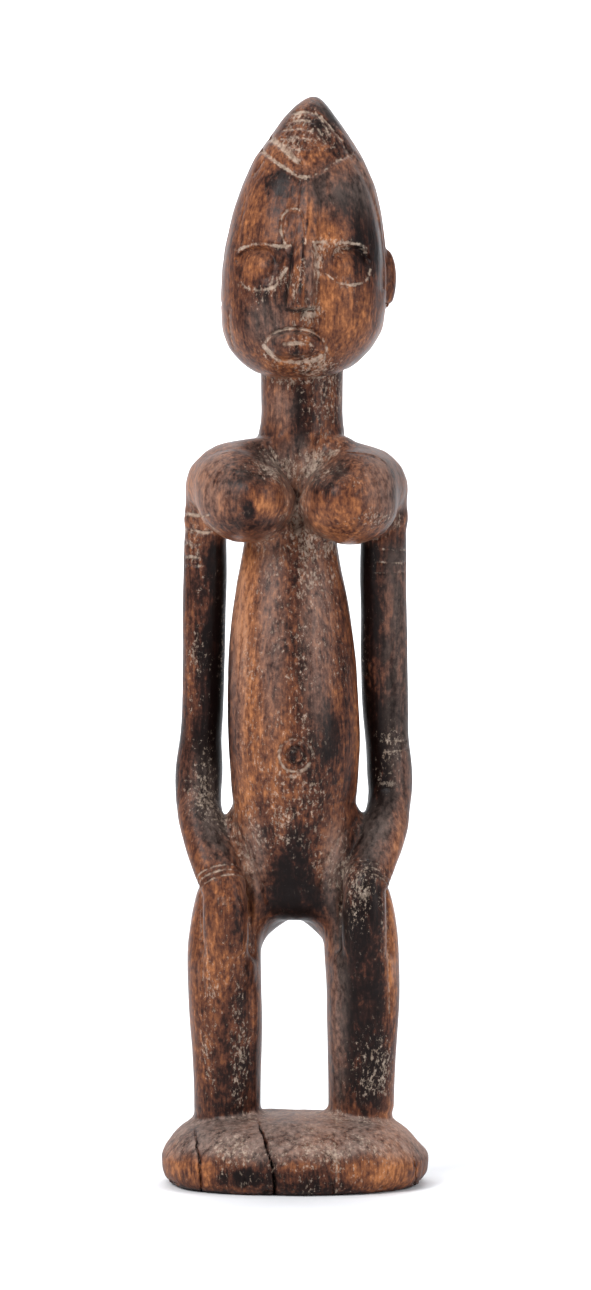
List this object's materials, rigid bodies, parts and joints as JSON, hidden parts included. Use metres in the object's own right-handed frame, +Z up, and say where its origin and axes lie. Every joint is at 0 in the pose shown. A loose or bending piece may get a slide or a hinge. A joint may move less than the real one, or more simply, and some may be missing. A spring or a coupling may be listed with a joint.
{
  "type": "fertility doll",
  "caption": "Carved wooden standing female figure with a pointed coiffure, long arms whose hands rest on the thighs, and a domed oval plinth.",
  "frame": {"origin": "centre of the plinth's flat underside", "axes": "+Z up along the figure, +X towards the figure's own left, and the figure faces -Y"},
  "size_m": [0.104, 0.084, 0.42],
  "materials": {
    "worn_wood": "hand-worn red-brown patina over orange-brown wood, satin, with near-black stains and pale residue in the carved lines",
    "dark_wood": "dark red-brown to near-black patina, satin, with fine vertical grain",
    "scuffed_wood": "scuffed plinth, duller and dustier, with pale rubbed wood on top, drying cracks in front and an orange-brown rim"
  },
  "bodies": {
    "root": {"plinth": "scuffed_wood", "right_leg": "worn_wood", "left_leg": "worn_wood", "pelvis": "worn_wood", "torso": "worn_wood", "navel": "dark_wood", "shoulders": "worn_wood", "right_breast": "worn_wood", "left_breast": "worn_wood", "right_upper_arm": "dark_wood", "left_upper_arm": "dark_wood", "right_forearm": "worn_wood", "left_forearm": "worn_wood", "right_hand": "worn_wood", "left_hand": "worn_wood", "neck": "dark_wood", "face": "worn_wood", "coiffure": "dark_wood", "right_ear": "worn_wood", "left_ear": "worn_wood"}
  },
  "joints": []
}
